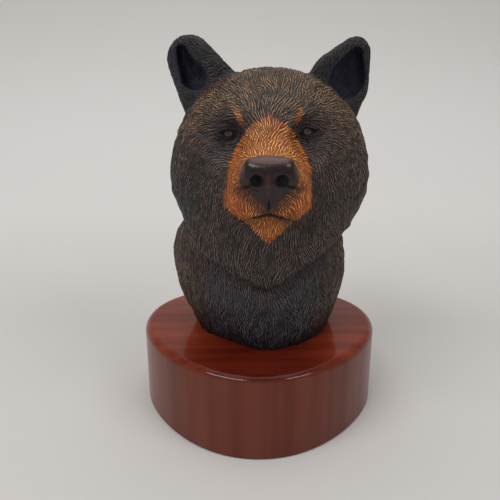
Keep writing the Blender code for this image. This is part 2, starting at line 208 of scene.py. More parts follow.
# plinth, in metres: its outline is a circle with waves of two and three lobes, as shares of its radius,
# and the nick lies at this place along X and height
PLINTH_WIDTH = 0.150
PLINTH_DEPTH = 0.136
PLINTH_EDGE_RADIUS = 0.005
PLINTH_FOOT_BREAK = 0.001
OVAL_SHARE = -0.041
LOBE_SHARE = 0.051
SKEW_SHARE = -0.005
PLINTH_SIDES = 512
EDGE_STEPS = 14
NICK = (0.0235, 0.0440)
NICK_RADIUS = 0.0011
NICK_DEPTH = 0.0005

# the photograph's camera: a lens as long as 1.06 frame widths, looking 17 degrees down along +Y
CAMERA_PLACE = (-0.0060, -0.3144, 0.1970)
CAMERA_DOWN = 17.0
SENSOR_WIDTH = 36.0
LENS_IN_FRAME_WIDTHS = 1.06

# studio: each light's place, what it is aimed at, its width and height, and its watts; the light of the
# room; and the sheet of paper, with half its width, where it ends in front, behind and above, the
# radius of its sweep and its colour, with a paler one as painted light low at the back
LIGHTS = {
    "left_window": ((-0.9, -0.9, 1.5), (0, 0, 0.1), (1.3, 0.36), 14),
    "right_window": ((1.1, -0.8, 1.3), (0, 0, 0.1), (0.8, 0.36), 5.5),
    "ceiling": ((0.0, 0.2, 2.2), (0, 0, 0), (2.0, 2.0), 15),
}
ROOM_COLOUR = (1.0, 0.99, 0.98, 1.0)
ROOM_LIGHT = 0.31
PAPER_HALF = 3.0
PAPER_FRONT = -2.5
PAPER_BACK = 1.4
PAPER_TOP = 3.0
PAPER_SWEEP = 0.9
PAPER_AND_PAINTED_LIGHT = ("#d0cdca", "#e3e1de")


# The carving is a field: negative inside the wood, zero on its surface, in units.


def length(v):
    return np.sqrt((v * v).sum(-1))


def fade(value, start, end):
    """0 before start, 1 after end, smooth between"""
    t = np.clip((value - start) / (end - start), 0, 1)
    return t * t * (3 - 2 * t)


def turned(p, centre, degrees):
    """the points as seen from a form that is turned about its centre"""
    ax, ay, az = np.radians(degrees)
    rx = np.array([[1, 0, 0], [0, np.cos(ax), -np.sin(ax)], [0, np.sin(ax), np.cos(ax)]])
    ry = np.array([[np.cos(ay), 0, np.sin(ay)], [0, 1, 0], [-np.sin(ay), 0, np.cos(ay)]])
    rz = np.array([[np.cos(az), -np.sin(az), 0], [np.sin(az), np.cos(az), 0], [0, 0, 1]])
    return (p - np.asarray(centre, float)) @ (rz @ ry @ rx)


def egg(p, centre, radii, degrees=(0, 0, 0)):
    q = turned(p, centre, degrees)
    r = np.asarray(radii, float)
    k0 = length(q / r)
    k1 = length(q / (r * r)) + 1e-9
    return k0 * (k0 - 1) / k1


def bar(p, a, b, radius_a, radius_b, squash=(1, 1, 1)):
    """a round bar from a to b; a squash under 1 makes it wider along that axis"""
    s = np.asarray(squash, float)
    a, b, q = np.asarray(a, float) * s, np.asarray(b, float) * s, p * s
    run = b - a
    t = np.clip(((q - a) @ run) / (run @ run), 0, 1)
    return (length(q - a - t[..., None] * run) - (radius_a + (radius_b - radius_a) * t)) / s.max()


def join(a, b, soft):
    h = np.maximum(soft - np.abs(a - b), 0) / soft
    return np.minimum(a, b) - h * h * soft * 0.25


def both(a, b, soft):
    return -join(-a, -b, soft)


def carve(a, b, soft):
    return both(a, -b, soft)


def mirrored(p, soft=3.0):
    """both sides folded onto one, without a crease along the middle"""
    q = p.copy()
    q[..., 0] = np.sqrt(q[..., 0] ** 2 + soft * soft) - soft * 0.25
    return q


def profile(at, points):
    """a smooth curve through (place, value) points"""
    places, values = np.array(points, float).T
    slopes = np.gradient(values, places)
    at = np.clip(at, places[0], places[-1])
    i = np.clip(np.searchsorted(places, at) - 1, 0, len(places) - 2)
    step = places[i + 1] - places[i]
    t = (at - places[i]) / step
    rise = (t**3 - 2 * t**2 + t) * step * slopes[i] + (t**3 - t**2) * step * slopes[i + 1]
    return values[i] + (3 * t**2 - 2 * t**3) * (values[i + 1] - values[i]) + rise


def head_frame(p):
    q = p - HEAD_MIDDLE
    c, s = np.cos(HEAD_TURN), np.sin(HEAD_TURN)
    x = c * q[..., 0] - s * q[..., 1]
    y = s * q[..., 0] + c * q[..., 1] + HEAD_MIDDLE[1]
    return np.stack([x, y, q[..., 2] + HEAD_MIDDLE[2]], -1)


def neck(p):
    x, y, z = p[..., 0], p[..., 1], p[..., 2]
    right, left = profile(z, NECK_RIGHT), profile(z, NECK_LEFT)
    front, back = profile(z, NECK_FRONT), profile(z, NECK_BACK)
    half = (right - left) / 2
    across = np.abs(x - (right + left) / 2) / half
    ahead = y < NECK_MIDDLE_Y
    reach = np.where(ahead, front, back)
    along = (y - NECK_MIDDLE_Y) / (reach - NECK_MIDDLE_Y)
    power = np.where(ahead, 1.85, 2.3)
    k = (across**power + np.abs(along) ** power + 1e-9) ** (1 / power)
    facet = (p @ np.array(NECK_FACET) - NECK_FACET_REACH) * 0.88
    return both(both((k - 1) * np.minimum(half, 48) * 0.9, facet, 3), z - 108, 20)


def skull(h):
    m = mirrored(h)
    return join(egg(h, *SKULL), egg(m, *CHEEK), 12)


def ruff(h):
    """the throat fur, which ends in a V over the neck"""
    return both(egg(h, *THROAT), below_ruff(h) * 0.86, 2.4)


def below_ruff(h):
    """how far below the edge of the throat fur"""
    return profile(h[..., 0], RUFF_EDGE) - h[..., 2]


def mouth_line(x):
    """height of the parting of the lips"""
    return LIPS_HEIGHT - LIPS_DROP * (np.abs(x) / LIPS_DROP_AT) ** 1.3


def muzzle(h):
    x, y, z = h[..., 0], h[..., 1], h[..., 2]
    top, low, half = profile(y, MUZZLE_TOP), profile(y, MUZZLE_LOW), profile(y, MUZZLE_HALF)
    widest = low + 0.40 * (top - low)
    tall = np.where(z > widest, top - widest, widest - low)
    power = np.where(z > widest, 2.05, 2.6)
    k = ((np.abs(x) / half) ** power + (np.abs(z - widest) / tall) ** power + 1e-9) ** (1 / power)
    falling_back = 0.10 * (99 - z + np.hypot(99 - z, 5.0))
    front = -(y + 59.0) + falling_back + 0.006 * x * x
    wood = both(both((k - 1) * 16, front, 5.5), y - 4, 4) * 0.9
    return both(wood, (mouth_line(x) - z) * 0.8, 1.6)


def jaw(h):
    """set back behind the lips, tapering to the chin"""
    return bar(h, *JAW)


def with_face(h, wood):
    m = mirrored(h)
    wood = join(wood, egg(m, *BROW), 10)
    wood = join(join(wood, muzzle(h), 8), join(wood, jaw(h), 6), 0.8)
    return carve(wood, egg(m, *MUZZLE_DIP), 9)


def nose_pad(h):
    """a leathery block with a sloping top, and the wedge down to the lip"""
    x, y, z = h[..., 0], h[..., 1], h[..., 2]
    behind_tip = y - NOSE_TIP_Y
    top = (z - NOSE_TOP) * 0.89 - behind_tip * 0.45
    side = np.abs(x) * 0.98 - NOSE_HALF + 0.10 * (z - 103)
    front = -behind_tip + 0.06 * (z - 104) + 0.012 * x * x
    pad = both(both(top, front, 4.0), both(side, NOSE_LOW - z, 5.0), 6.0)
    pad = both(pad, y - NOSE_BACK_Y, 2.5)
    return join(pad, bar(h, *NOSE_WEDGE), 3)


def nostril(m):
    return egg(m, *NOSTRIL)


def nostril_slit(m):
    return bar(m, *NOSTRIL_SLIT)


def with_nose(h, wood):
    m = mirrored(h, 2.0)
    wood = join(wood, nose_pad(h), 1.6)
    return carve(carve(wood, nostril(m), 1.2), nostril_slit(m), 0.8)


def lip_parting(h):
    x, z = h[..., 0], h[..., 2]
    parting = np.abs(z - mouth_line(x)) * 0.8 - LIP_GAP
    return both(parting, egg(h, (0.6, -54, 83.5), (LIP_CORNER, 9.5, 7)), 1.0)


def lip_cleft(h):
    return bar(h, *LIP_CLEFT)


def with_mouth(h, wood):
    return carve(carve(wood, lip_parting(h), 1.0), lip_cleft(h), 0.8)


def eye_slit(q, ball):
    """the cut between the lids, with its corners"""
    slit = egg(q, ball + [-0.2, -5.6, -0.1], (3.0, 5.0, 1.9), (0, 6, 0))
    slit = join(slit, bar(q, ball + [-2.2, -4.2, -0.8], ball + [-5.6, -5.2, -2.9], 1.1, 0.7), 1.0)
    return join(slit, bar(q, ball + [2.2, -4.2, 0.0], ball + [5.6, -3.6, 0.3], 0.9, 0.5), 1.0)


def eye_ball(q, ball):
    return length(q - ball - [0, 1.0, 0]) - EYE_RADIUS


def with_eyes(h, wood):
    for side, ball in EYES.items():
        q = h * [side, 1, 1]
        socket = egg(q, ball + [0, -9, -1.5], (7.5, 7, 5.4), (0, 10, 0))
        lids = egg(q, ball, (5.4, 4.6, 4.4))
        wood = join(carve(wood, socket, 6), lids, 3)
        wood = carve(wood, eye_slit(q, ball), 0.6)
        wood = np.minimum(wood, eye_ball(q, ball))
    return wood


def disc_outline(across, height, discs):
    """the flat outline around a row of discs and their common tangents"""
    outline = None
    for (ax, az, ra), (bx, bz, rb) in zip(discs, discs[1:]):
        span = np.hypot(bx - ax, bz - az)
        ux, uz = (bx - ax) / span, (bz - az) / span
        along = (across - ax) * ux + (height - az) * uz
        off = np.abs((across - ax) * uz - (height - az) * ux)
        lean = (ra - rb) / span
        rise = np.sqrt(1 - lean * lean)
        k = along * rise - off * lean
        side = off * rise + along * lean - ra
        end = np.where(k < 0, np.hypot(off, along) - ra, np.hypot(off, along - span) - rb)
        one = np.where((k < 0) | (k > rise * span), end, side)
        outline = one if outline is None else np.minimum(outline, one)
    return outline


def bowl(outline, span):
    """0 on an outline, rising as a quarter round to 1 at span inside it"""
    inside = np.clip(-outline / span, 0, 1)
    return np.sqrt(1 - (1 - inside) ** 2)


def ear_rim(across, height):
    """how far back an ear's front edge lies"""
    return EAR_Y + 0.30 * (across - 40) - 0.10 * (height - 150)


def ear(p, side):
    across, y, z = p[..., 0] * side, p[..., 1], p[..., 2]
    outline = disc_outline(across, z, EARS[side]["outline"]) - 0.8
    hollow = disc_outline(across, z, EARS[side]["hollow"])
    rim = ear_rim(across, z)
    back = y - (rim + 3.0 + EAR_BACK_SWELL * bowl(outline, 15))
    front = (rim - 2.5 * bowl(outline, 6)) - y
    wood = both(outline, both(back, front, 3.0) * 0.8, 3.0)
    scoop = both(hollow, (y - (rim + EAR_HOLLOW_DEPTH * bowl(hollow, 10))) * 0.7, 2.5)
    return carve(wood, scoop, 1.5)


def carving(p):
    """the bust without its fur; its neck runs on below the seat, where it is cut"""
    h = head_frame(p)
    wood = join(skull(h), ruff(h), 8)
    for side in EARS:
        wood = join(wood, ear(p, side), 3)
    wood = with_eyes(h, with_mouth(h, with_nose(h, with_face(h, wood))))
    left_front = fade(-p[..., 0], -8, 20) * fade(-p[..., 1], -5, 15)
    return join(wood, neck(p), NECK_JOIN + NECK_JOIN_MORE * left_front)


def broken_locks(count, around, along):
    """ridges that run along the fur, each broken into locks that lie beside their neighbours' gaps"""
    ridge = np.cos(count * around + 1.3 * np.sin(along / 9.0 + 5 * around))
    return ridge * (0.45 + 0.55 * np.cos(2 * np.pi * along / LOCK_LENGTH + 2.0 * np.sin(7 * around)))


def fur_locks(p):
    """height of the broad locks: down the neck, and fanned out from the muzzle over the head"""
    h = head_frame(p)
    round_neck = np.arctan2(p[..., 0], NECK_MIDDLE_Y - p[..., 1])
    on_neck = NECK_LOCK_HEIGHT * broken_locks(NECK_LOCKS, round_neck, p[..., 2])
    round_nose = np.arctan2(h[..., 0], h[..., 2] - 100)
    on_head = HEAD_LOCK_HEIGHT * broken_locks(HEAD_LOCKS, round_nose, h[..., 1])
    low = fade(-p[..., 2], -62, -48)
    muzzle_bare = fade(length(h - [0, -44, 96]), 24, 34)
    nape_bare = fade(length(p - [HEAD_MIDDLE[0], 70, 100]), 10, 30)
    bare = muzzle_bare * nape_bare * fade(-p[..., 2], -152, -138)
    for side, ball in EYES.items():
        bare = bare * fade(length(h - ball * [side, 1, 1]), 9, 15)
    return (low * on_neck + (1 - low) * on_head) * bare


def slope(field, p):
    reach = 0.15
    parts = [field(p + step) - field(p - step) for step in np.eye(3) * reach]
    return np.stack(parts, -1) / (2 * reach)


def onto_surface(p, field, passes, furthest):
    """moves points along the field's slope until they lie on its surface"""
    for _ in range(passes):
        away = slope(field, p)
        steep = np.maximum((away * away).sum(-1), 0.04)
        move = np.clip(field(p) / steep, -furthest, furthest)
        p = p - move[:, None] * away
    return p


# hair


def unit(v):
    return v / np.maximum(length(v), 1e-6)[:, None]


def on_ear(p):
    """1 on the ears, 0 off them"""
    nearest = np.minimum(ear(p, -1), ear(p, 1))
    return fade(-nearest, -2.0, -0.4)


def hair_lie(p, facing):
    """which way the hair lies, root to tip: away from the nose, round the eyes, down the cheeks and neck"""
    h = head_frame(p)
    above = fade(h[:, 2] + 0.6 * (h[:, 1] + 34), 116, 134)[:, None]
    from_nose = unit(h - [0, -62, 104]) * (1 - above) + unit(h - [0, -36, 120]) * above
    falling = (112 - h[:, 2]) + 0.9 * (np.abs(h[:, 0]) - 15) + 0.8 * np.maximum(h[:, 1] - 5, 0)
    fall = fade(falling, -25, 50)[:, None]
    lie = from_nose * (1 - 0.75 * fall) + fall * [0, 0, -1.0]
    for side, ball in EYES.items():
        out = h - ball * [side, 1, 1]
        near = 1 - fade(length(out), 7, 19)
        out = unit(out)
        lie = lie - 0.95 * near[:, None] * (lie * out).sum(-1)[:, None] * out
    up_ear = np.stack([0.8 * np.sign(p[:, 0]), np.full(len(p), -0.1), np.ones(len(p))], -1)
    ears = on_ear(p)[:, None]
    lie = lie * (1 - ears) + up_ear * ears
    lie = unit(lie - (lie * facing).sum(-1)[:, None] * facing + 1e-3)
    stray = STRAY + (EAR_STRAY - STRAY) * ears[:, 0]
    return swung(lie, facing, stray * patches(p, STRAY_PATCH, STRAY_SEED))


def swung(lie, facing, angle):
    """directions turned about the way the surface faces"""
    return lie * np.cos(angle)[:, None] + np.cross(facing, lie) * np.sin(angle)[:, None]


def patches(p, size, seed):
    """soft blotches about this many units across, of about unit height"""
    return streaks(p, np.zeros_like(p), size, 0, PATCH_WAVES, seed)


def streaks(p, lie, spacing, run, waves, seed):
    """a mix of waves that keeps only those that cross the hair: stripes along it, of about unit height"""
    random = np.random.default_rng(seed)
    directions = unit(random.normal(size=(waves, 3)))
    total = np.zeros(len(p))
    power = np.full(len(p), 1e-4)
    for direction in directions:
        wave = direction * 2 * np.pi / (spacing * random.uniform(0.75, 1.3))
        keep = np.exp(-0.5 * (lie @ wave * run * 0.4) ** 2)
        total += keep * np.cos(p @ wave + random.uniform(0, 2 * np.pi))
        power += keep * keep
    return total / np.sqrt(power * 0.5)


def tufts(p, lie, width, run, seed):
    """rounded tufts between V cuts, from 0 in a cut to about 1"""
    stripes = streaks(p, lie, 2 * width, run, TUFT_WAVES, seed)
    return np.minimum(np.sqrt(np.abs(stripes)), 1.25)


def tan_masks(h, ragged):
    """the tan of the muzzle, chin and brow spots, with the rust at its edges and the gold at its heart"""
    x, y, z = h.T
    out = np.abs(x)
    ahead = fade(-y, 20, 24)
    tan = fade(profile(z, TAN_HALF) - out + 0.5 * ragged, -0.9, 0.9) * ahead * fade(z, 78.5, 81)
    chin = fade((z - CHIN_TIP) * 1.05 - out + 0.5 * ragged, -0.8, 0.8)
    chin = chin * fade(-y, 34, 38) * fade(mouth_line(x) - z, -1.0, 0.5)
    spots = np.zeros(len(h))
    for side, (across, height) in TAN_SPOTS.items():
        above = z - height
        beside = (x * side - across) - TAN_SPOT_LEAN * above
        away = np.hypot(beside / TAN_SPOT_SIZE[0], above / TAN_SPOT_SIZE[1]) + 0.25 * ragged
        spots = np.maximum(spots, 1 - fade(away, 0.4, 1.4))
    spots = 0.75 * spots * ahead
    tan = np.maximum(np.maximum(tan, chin), spots)

    low_sides = fade(98 - z, -6, 10) * fade(out, 9, 17)
    rim_side = fade(out - profile(z, TAN_HALF), -5.5, -1.5) * fade(118 - z, -4, 6)
    strip = fade(-np.abs(x - RUST_STRIP_X), -2.0, -0.8) * fade(-y, 26, 30)
    strip = strip * fade(96 - z, 0, 3) * fade(z, 83, 87)
    rust = np.maximum(np.maximum(tan * low_sides * 0.75, tan * rim_side * 0.6), strip * 0.7)
    rust = np.maximum(rust, chin * fade(72 - z, -2, 3) * 0.7)

    gold = tan * (1 - fade(np.hypot(x / 13, (z - 113.5) / 7.5), 0.35, 1.1))
    gold = np.maximum(gold, np.maximum(0.8 * chin * fade(z, 68, 74), 0.4 * spots))
    return {"tan": tan, "rust": rust, "gold": gold}


def nose_masks(h, facing, ragged):
    """the leathery nose, painted highlight on top and sides, reddish middle line, dark below, painted lip
    shadow
    """
    x, y, z = h.T
    out = np.abs(x)
    taper = fade((z - 86.6) * 0.95 - out + 0.3 * ragged, -0.6, 0.8)
    pad = fade(-nose_pad(h), -0.9, -0.2) * fade(-y, 46, 48) * np.maximum(fade(z, 96.5, 98.5), taper)
    wedge = taper * fade(-y, 52, 54) * fade(101 - z, -1, 1) * fade(12.5 - out, -0.5, 0.5)
    # painted highlight: the nose is drawn lighter where it faces up and, high on it, where it faces sideways
    lit_facing = np.maximum(facing[:, 2] - 0.2 * facing[:, 1], np.abs(facing[:, 0]) * fade(z, 99, 104))
    philtrum = fade(1.5 - np.abs(x + 0.6), 0, 1.2) * fade(-y, 55, 57)
    philtrum = philtrum * fade(108 - z, 0, 4) * fade(z, 92, 96)
    snout = 0.7 * fade((z - 82.0) * 1.1 - out, -3.5, 3) * fade(-y, 51, 54) * fade(101 - z, 0, 3)
    # painted shadow on the chin just under the lips, stronger towards +X; the brown paint below the nose
    # joins it
    below_lips = mouth_line(x) - z
    lip_shadow_and_snout = fade(below_lips, 0, 1) * (1 - fade(below_lips, 1, 6)) * fade(-y, 36, 40)
    return {
        "lip_shadow_and_snout": np.maximum(lip_shadow_and_snout * (0.45 + 0.4 * fade(x, 2, 9)), snout),
        "nose": np.maximum(pad, wedge),
        "nose_painted_highlight": pad * fade(lit_facing, 0.58, 0.95),
        "philtrum": philtrum,
    }


def dark_masks(h):
    """the black of nostrils, mouth and lids, and the eyes"""
    y = h[:, 1]
    m = mirrored(h, 2.0)
    black = np.maximum(fade(-nostril(m), -0.8, -0.2), 0.9 * fade(-nostril_slit(m), -0.6, 0.0))
    black = np.maximum(black, fade(-lip_cleft(h), -0.5, 0.1))
    black = np.maximum(black, fade(-lip_parting(h), -0.6, 0.1) * fade(-y, 40, 43))
    eye = np.zeros(len(h))
    pupil = np.zeros(len(h))
    lids = np.zeros(len(h))
    for side, ball in EYES.items():
        q = h * [side, 1, 1]
        ahead_of_ball = (q - ball - [0.3, 0, -0.2]) * [1, 0, 1]
        eye = np.maximum(eye, fade(-eye_ball(q, ball), -0.3, -0.1) * fade(-y, 20, 22))
        pupil = np.maximum(pupil, eye * (1 - fade(length(ahead_of_ball), 0.5, 1.1)))
        lids = np.maximum(lids, fade(-eye_slit(q, ball), -0.9, -0.2))
        around = length((q - ball - [0, -2, -0.3]) * [0.8, 1, 1.1])
        lids = np.maximum(lids, 0.55 * (1 - fade(around, 3.6, 6.5)))
    return {"black": np.maximum(black, lids * (1 - eye)), "eye": eye, "pupil": pupil}


def coat_masks(p, h, facing, tan):
    """the dark coat: its crown, cool and warm parts, the shade under the ruff and round the eyes, the ears"""
    x, y, z = h.T
    out = np.abs(p[:, 0])
    ears = on_ear(p)
    # lighter higher up the head and on the forehead: partly the dry-brushed paint, partly painted light from
    # above
    crown = fade(z + 0.25 * np.abs(x), 116, 146) * (1 - ears) * fade(70 - y, 0, 40)
    crown = np.maximum(crown, 0.55 * (1 - fade(length(h - [0, -20, 132]), 14, 30)))
    below = below_ruff(h)
    # grey-blue on the front of the neck and the lower left cheek: partly the paint's own colour, partly a
    # painted sheen
    cool = fade(below, -10, 22) * (1 - fade(out, 20, 42)) * fade(-p[:, 1], 0, 14)
    cool = np.maximum(cool, 0.7 * (1 - fade(length(h - [-44, -8, 82]), 8, 26)))
    warm = fade(66 - p[:, 2], 0, 8) * fade(out, 30, 50)
    under_ruff = fade(below, -1.5, 2) * (1 - fade(below, 3, 18)) * fade(-y, 0, 14)
    shade = under_ruff * (0.2 + 0.5 * fade(x, -4, 22))
    shade = np.maximum(shade, 0.75 * fade(11 - p[:, 2], 0, 9))
    round_eyes = 1 - fade(length((mirrored(h) - [20.5, -22, 124]) * [0.8, 0.7, 1]), 6, 16)
    shade = np.maximum(shade, (0.6 + 0.15 * fade(-x, 0, 6)) * round_eyes * (1 - tan))

    front = fade(-facing[:, 1], -0.15, 0.3)
    hollow = 0.6 * fade(-p[:, 0], 46.5, 49) * ears
    for side in EARS:
        inside = disc_outline(p[:, 0] * side, p[:, 2], EARS[side]["hollow"])
        hollow = np.maximum(hollow, fade(-inside, -0.8, 1.0) * front * ears)
    return {
        "crown": crown, "cool": cool, "warm": warm, "shade": shade, "ears": ears * front, "hollow": hollow,
    }


def paint_masks(p, facing):
    """how much of each paint lies at each point"""
    h = head_frame(p)
    x, z = h[:, 0], h[:, 2]
    ragged = 0.9 * np.sin(2.3 * x + 1.1 * z) + 0.7 * np.sin(3.7 * z - 1.9 * x + 1.0)
    masks = tan_masks(h, ragged)
    masks.update(nose_masks(h, facing, ragged))
    masks.update(dark_masks(h))
    masks.update(coat_masks(p, h, facing, masks["tan"]))
    return masks


# meshes


def linked(obj):
    bpy.context.scene.collection.objects.link(obj)
    return obj


def evaluated(obj):
    seen = obj.evaluated_get(bpy.context.evaluated_depsgraph_get())
    return bpy.data.meshes.new_from_object(seen)


def coordinates(mesh):
    flat = np.empty(len(mesh.vertices) * 3, np.float32)
    mesh.vertices.foreach_get("co", flat)
    return flat.reshape(-1, 3).astype(float)


def set_coordinates(mesh, p):
    mesh.vertices.foreach_set("co", p.astype(np.float32).ravel())
    mesh.update()


def modified(obj, name, kind, **settings):
    """the object's mesh with one modifier applied"""
    modifier = obj.modifiers.new(name, kind)
    for key, value in settings.items():
        setattr(modifier, key, value)
    obj.data = evaluated(obj)
    obj.modifiers.remove(modifier)


def finest(p):
    """1 at the eyes, nose and mouth, where the skin is divided once more, 0 elsewhere"""
    h = head_frame(p)
    close = fade(-length(h - NOSE_MIDDLE), -NOSE_REACH - REACH_EDGE, -NOSE_REACH)
    for side, ball in EYES.items():
        from_eye = length(h - ball * [side, 1, 1])
        close = np.maximum(close, fade(-from_eye, -EYE_REACH - REACH_EDGE, -EYE_REACH))
    return close


def divide_finest(mesh):
    """divides the faces at the eyes, nose and mouth"""
    bm = bmesh.new()
    bm.from_mesh(mesh)
    bmesh.ops.triangulate(bm, faces=bm.faces)
    close = finest(np.array([vert.co for vert in bm.verts])) > 0.5
    bm.verts.ensure_lookup_table()
    edges = [edge for edge in bm.edges if close[edge.verts[0].index] and close[edge.verts[1].index]]
    bmesh.ops.subdivide_edges(bm, edges=edges, cuts=1)
    bmesh.ops.triangulate(bm, faces=bm.faces)
    bm.to_mesh(mesh)
    bm.free()


def thin_out(obj, triangles):
    """leaves about this many triangles, and thins the eyes, nose and mouth least"""
    obj.data.calc_loop_triangles()
    share = triangles / len(obj.data.loop_triangles)
    if share < 1:
        group = obj.vertex_groups.new(name="thinned")
        thinned = 1 - THINNING_SPARED * finest(coordinates(obj.data))
        for index, weight in enumerate(thinned):
            group.add([index], float(weight), "REPLACE")
        modified(obj, "thinner", "DECIMATE", ratio=share, vertex_group=group.name, vertex_group_factor=1.0)


def cut_flat(mesh, height):
    """cuts the mesh off below a height and closes the cut"""
    bm = bmesh.new()
    bm.from_mesh(mesh)
    every = bm.verts[:] + bm.edges[:] + bm.faces[:]
    cut = bmesh.ops.bisect_plane(
        bm, geom=every, dist=1e-7, plane_co=(0, 0, height), plane_no=(0, 0, 1), clear_inner=True
    )
    rim = [edge for edge in cut["geom_cut"] if isinstance(edge, bmesh.types.BMEdge)]
    filled = bmesh.ops.contextual_create(bm, geom=rim)
    bmesh.ops.triangulate(bm, faces=filled["faces"])
    bmesh.ops.recalc_face_normals(bm, faces=bm.faces)
    bm.to_mesh(mesh)
    bm.free()


def hair_relief(p):
    """moves points that lie on the carving out to the tops of the tufts and into the cuts between them"""
    facing = unit(slope(carving, p))
    lie = hair_lie(p, facing)
    masks = paint_masks(p, facing)
    smooth = np.maximum.reduce([masks["nose"], masks["eye"], masks["black"], 0.6 * masks["hollow"]])
    long_tufts = tufts(p, lie, TUFT_WIDTH, TUFT_LENGTH, TUFT_SEED)
    short_tufts = tufts(p, lie, MUZZLE_TUFT_WIDTH, MUZZLE_TUFT_LENGTH, MUZZLE_TUFT_SEED)
    fur = TUFT_HEIGHT * (long_tufts - CUT_SHARE)
    short = MUZZLE_TUFT_HEIGHT * (short_tufts - CUT_SHARE)
    height = fur * (1 - masks["tan"]) + short * masks["tan"]
    return p + facing * (height * (1 - smooth))[:, None]


def store(mesh, name, kind, values):
    attribute = mesh.attributes.new(name, kind, "POINT")
    field = "value" if kind == "FLOAT" else "vector"
    attribute.data.foreach_set(field, np.asarray(values, np.float32).ravel())


def fine_skin():
    """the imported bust's own skin on a stump, made anew in even cells and drawn onto the carving"""
    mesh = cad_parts["bear_bust"].data.copy()
    mesh.name = "carved_bust"
    p = (coordinates(mesh) - [0, 0, SEAT]) / UNIT
    p[p[:, 2] < 0.01, 2] = -STUMP
    set_coordinates(mesh, p)
    obj = linked(bpy.data.objects.new("carved_bust", mesh))
    for passes, furthest in ((5, 0.6 * SKIN_CELL), (4, 0.5 * SKIN_CELL)):
        modified(obj, "skin", "REMESH", mode="VOXEL", voxel_size=SKIN_CELL)
        set_coordinates(obj.data, onto_surface(coordinates(obj.data), carving, passes, furthest))
    modified(obj, "finer", "SUBSURF", subdivision_type="SIMPLE", levels=1, render_levels=1)
    divide_finest(obj.data)
    return obj


def store_paint(mesh):
    """keeps on the mesh which way its strokes run, its tufts and its paints"""
    p = coordinates(mesh)
    facing = unit(slope(carving, p))
    lie = hair_lie(p, facing)
    crossing = STROKE_CROSSING * patches(p, CROSSING_PATCH, CROSSING_SEED)
    store(mesh, "across", "FLOAT_VECTOR", np.cross(facing, swung(lie, facing, crossing)))
    store(mesh, "across_again", "FLOAT_VECTOR", np.cross(facing, swung(lie, facing, -crossing)))
    store(mesh, "tuft", "FLOAT", tufts(p, lie, TUFT_WIDTH, TUFT_LENGTH, TUFT_SEED))
    for name, values in paint_masks(p, facing).items():
        store(mesh, name, "FLOAT", values)


def carved_bust():
    """the bust in metres, with its fur cut and its paint laid out"""
    obj = fine_skin()
    locks = onto_surface(coordinates(obj.data), lambda q: carving(q) - fur_locks(q), 2, 0.5 * SKIN_CELL)
    set_coordinates(obj.data, hair_relief(locks))
    thin_out(obj, SKIN_TRIANGLES)
    cut_flat(obj.data, 0.0)
    store_paint(obj.data)
    set_coordinates(obj.data, coordinates(obj.data) * UNIT + [0, 0, SEAT])
    obj.data.shade_smooth()
    return obj


def plinth_outline():
    """points round the plinth, at its full width and depth about the origin, and which way each faces"""
    angle = np.linspace(0, 2 * np.pi, PLINTH_SIDES, endpoint=False)

    def at(a):
        radius = 1 + OVAL_SHARE * np.cos(2 * a) + LOBE_SHARE * np.cos(3 * a) + SKEW_SHARE * np.sin(3 * a)
        return np.stack([radius * np.sin(a), -radius * np.cos(a)], -1)

    fine = at(np.linspace(0, 2 * np.pi, 2000))
    low, high = fine.min(0), fine.max(0)
    size = np.array([PLINTH_WIDTH, PLINTH_DEPTH]) / (high - low)
    points = (at(angle) - (low + high) / 2) * size
    ahead = (at(angle + 1e-4) - at(angle - 1e-4)) * size
    facing = np.stack([ahead[:, 1], -ahead[:, 0]], -1)
    return points, unit(facing)


def turned_plinth():
    """the plinth with a smooth round-over and the small nick in its front edge"""
    points, facing = plinth_outline()
    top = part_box("plinth")[1].z
    rings = [(PLINTH_FOOT_BREAK, 0.0), (0.0, PLINTH_FOOT_BREAK), (0.0, 0.3 * top)]
    for step in range(EDGE_STEPS + 1):
        a = np.pi / 2 * step / EDGE_STEPS
        rings.append((PLINTH_EDGE_RADIUS * (1 - np.cos(a)), top - PLINTH_EDGE_RADIUS * (1 - np.sin(a))))
    bm = bmesh.new()
    rows = []
    for inset, height in rings:
        ring = points - facing * inset
        near = np.hypot(ring[:, 0] - NICK[0], height - NICK[1]) / NICK_RADIUS
        ring = ring - facing * (NICK_DEPTH * (1 - fade(near, 0.3, 1)) * (ring[:, 1] < 0))[:, None]
        rows.append([bm.verts.new((x, y, height)) for x, y in ring])
    for lower, upper in zip(rows, rows[1:]):
        for i in range(PLINTH_SIDES):
            j = (i + 1) % PLINTH_SIDES
            bm.faces.new((lower[i], lower[j], upper[j], upper[i]))
    bm.faces.new(rows[-1])
    bm.faces.new(list(reversed(rows[0])))
    bmesh.ops.recalc_face_normals(bm, faces=bm.faces)
    mesh = bpy.data.meshes.new("rounded_plinth")
    bm.to_mesh(mesh)
    bm.free()
    mesh.shade_smooth()
    mesh.set_sharp_from_angle(angle=np.radians(40))
    return linked(bpy.data.objects.new("rounded_plinth", mesh))


# materials


def paint(hex_colour):
    """an sRGB hex colour as the linear colour that the shader takes"""
    parts = [int(hex_colour[i : i + 2], 16) / 255 for i in (1, 3, 5)]
    return (*[c / 12.92 if c <= 0.04045 else ((c + 0.055) / 1.055) ** 2.4 for c in parts], 1.0)


def new_material(name):
    material = bpy.data.materials.new(name)
    material.use_nodes = True
    return material, material.node_tree, material.node_tree.nodes["Principled BSDF"]


def add(tree, kind, inputs=None, **settings):
    """adds a node; an input is a value or the output socket that feeds it"""
    node = tree.nodes.new(kind)
    for key, value in settings.items():
        setattr(node, key, value)
    for key, value in (inputs or {}).items():
        if isinstance(value, bpy.types.NodeSocket):
            tree.links.new(value, node.inputs[key])
        else:
            node.inputs[key].default_value = value
    return node


